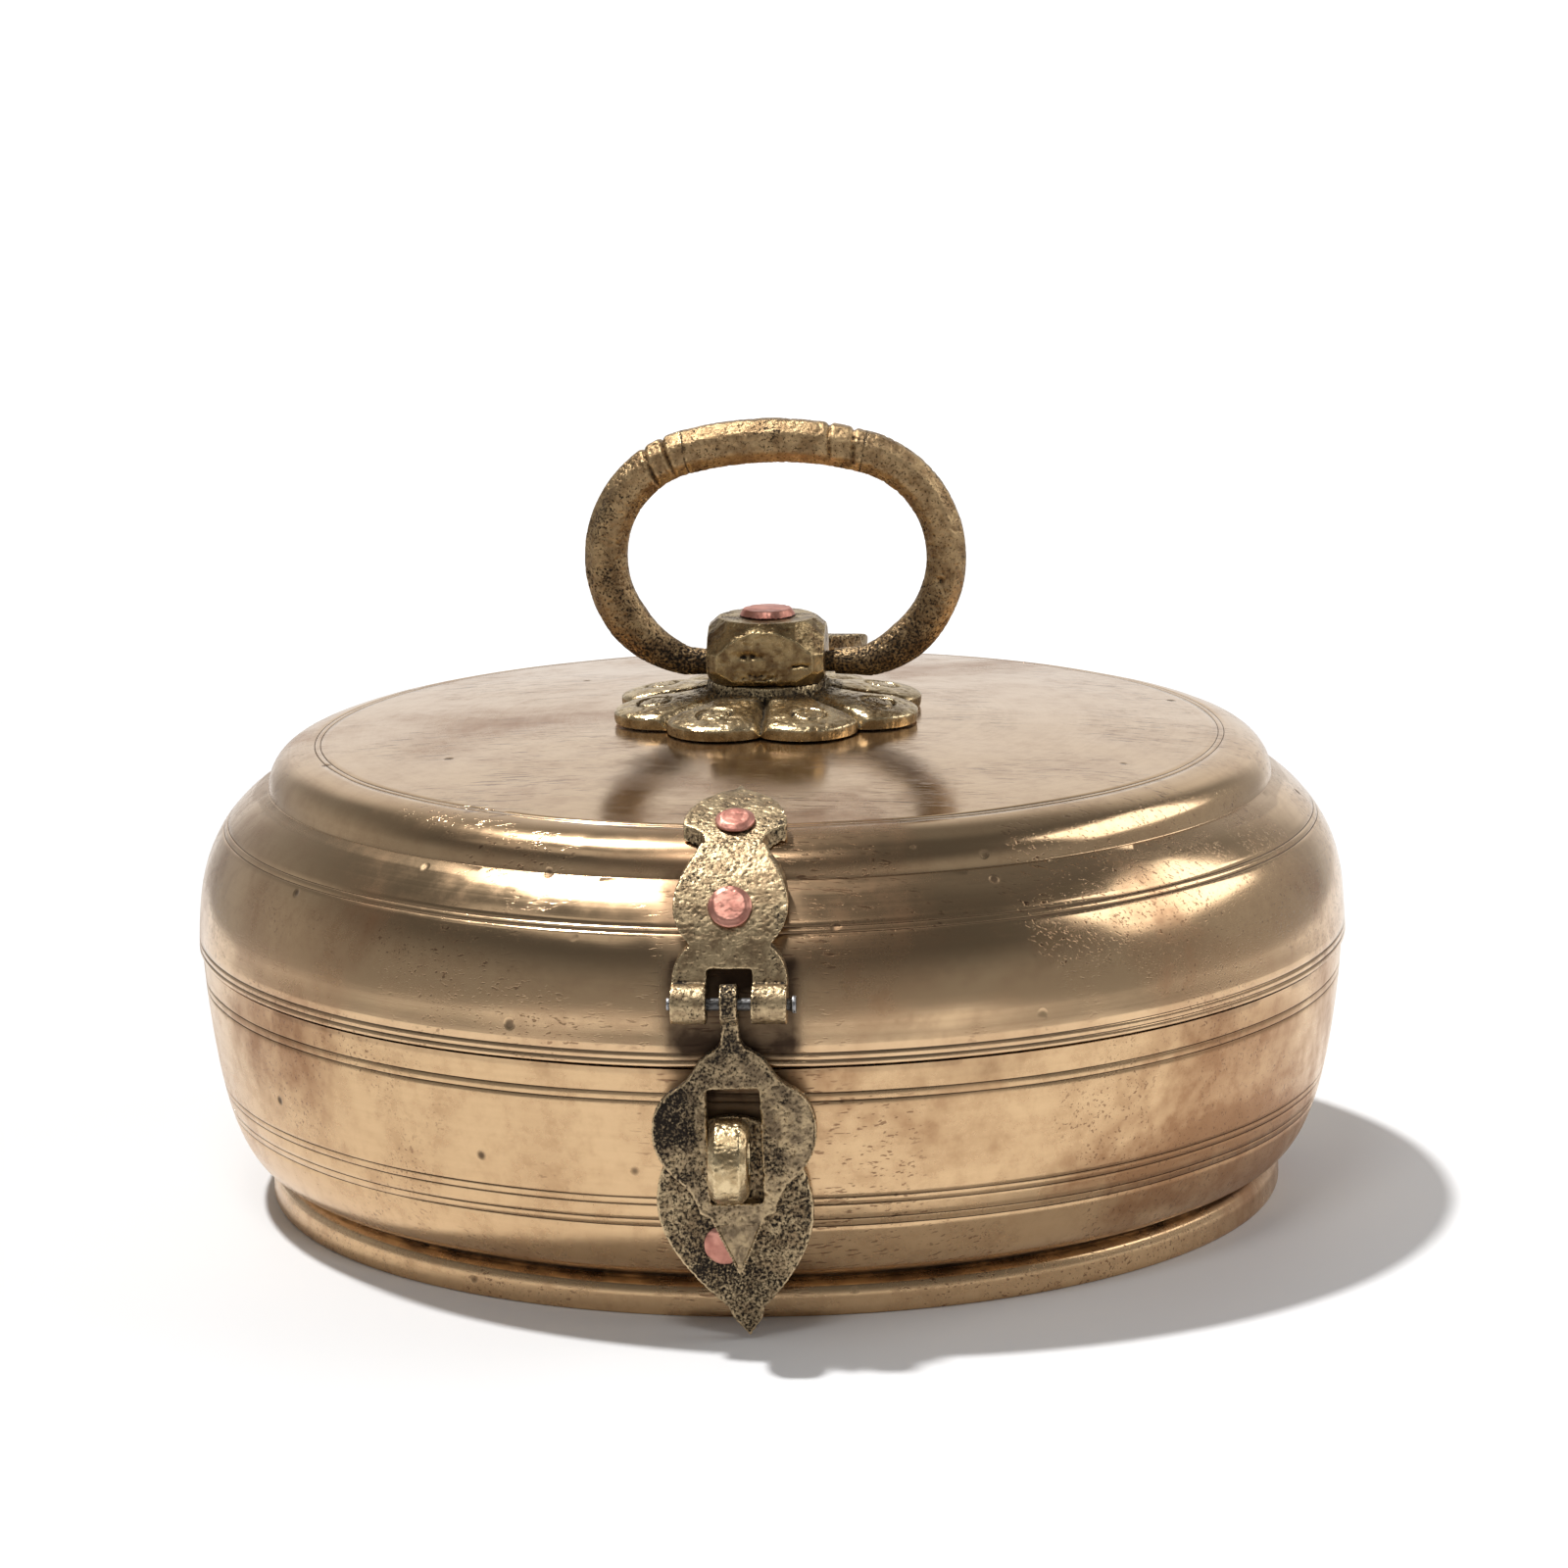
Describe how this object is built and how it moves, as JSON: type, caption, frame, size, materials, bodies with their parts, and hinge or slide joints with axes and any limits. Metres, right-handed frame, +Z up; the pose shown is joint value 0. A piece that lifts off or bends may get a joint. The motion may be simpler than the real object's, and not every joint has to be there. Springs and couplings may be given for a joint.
{
  "type": "spice box",
  "caption": "Round brass spice box with a hinged domed lid, drop ring handle on a flower rosette, riveted hasp and staple, and loose spice cups inside.",
  "frame": {"origin": "centre of the foot ring on the surface the box stands on", "axes": "+Z up; -Y is the front, where the hasp is; +Y is the back, where the hinge is; +X is to the right seen from the front"},
  "size_m": [0.24, 0.2685, 0.1612],
  "materials": {
    "sheet_brass": "polished",
    "cast_brass": "satin",
    "copper_rivet": "satin",
    "steel_pin": "satin",
    "cup_brass": "polished"
  },
  "bodies": {
    "base": {"base_bowl": "sheet_brass", "foot_ring": "sheet_brass", "staple_plate": "cast_brass", "staple": "cast_brass", "staple_plate_rivet": "copper_rivet", "hinge_base_leaf": "cast_brass", "hinge_base_rivets": "copper_rivet", "hinge_pin": "steel_pin"},
    "lid": {"lid_shell": "sheet_brass", "rosette": "cast_brass", "handle_block": "cast_brass", "handle_rivet": "copper_rivet", "handle_washer": "cup_brass", "hasp_plate": "cast_brass", "hasp_plate_rivets": "copper_rivet", "hasp_pin": "steel_pin", "hinge_lid_leaf": "cast_brass", "hinge_lid_rivets": "copper_rivet"},
    "handle": {"handle_ring": "cast_brass"},
    "hasp": {"hasp": "cast_brass"},
    "cup_1": {"cup_1": "cup_brass"},
    "cup_2": {"cup_2": "cup_brass"},
    "cup_3": {"cup_3": "cup_brass"},
    "cup_4": {"cup_4": "cup_brass"},
    "cup_5": {"cup_5": "cup_brass"},
    "cup_6": {"cup_6": "cup_brass"},
    "cup_7": {"cup_7": "cup_brass"}
  },
  "joints": [
    {"name": "lid_hinge", "type": "hinge", "parent": "base", "child": "lid", "pos_m": [0, 0.1242, 0.0528], "axis": [-1, 0, 0], "range_deg": [0, 110]},
    {"name": "hasp_hinge", "type": "hinge", "parent": "lid", "child": "hasp", "pos_m": [0, -0.1235, 0.067], "axis": [-1, 0, 0], "range_deg": [0, 185]},
    {"name": "handle_swing", "type": "hinge", "parent": "lid", "child": "handle", "pos_m": [0, 0, 0.1102], "axis": [1, 0, 0], "range_deg": [-98, 98]},
    {"name": "cup_1_lift", "type": "slide", "parent": "base", "child": "cup_1", "axis": [0, 0, 1], "range_m": [0, 0.0515]},
    {"name": "cup_2_lift", "type": "slide", "parent": "base", "child": "cup_2", "axis": [0, 0, 1], "range_m": [0, 0.0515]},
    {"name": "cup_3_lift", "type": "slide", "parent": "base", "child": "cup_3", "axis": [0, 0, 1], "range_m": [0, 0.0515]},
    {"name": "cup_4_lift", "type": "slide", "parent": "base", "child": "cup_4", "axis": [0, 0, 1], "range_m": [0, 0.0515]},
    {"name": "cup_5_lift", "type": "slide", "parent": "base", "child": "cup_5", "axis": [0, 0, 1], "range_m": [0, 0.0515]},
    {"name": "cup_6_lift", "type": "slide", "parent": "base", "child": "cup_6", "axis": [0, 0, 1], "range_m": [0, 0.0515]},
    {"name": "cup_7_lift", "type": "slide", "parent": "base", "child": "cup_7", "axis": [0, 0, 1], "range_m": [0, 0.0515]}
  ]
}
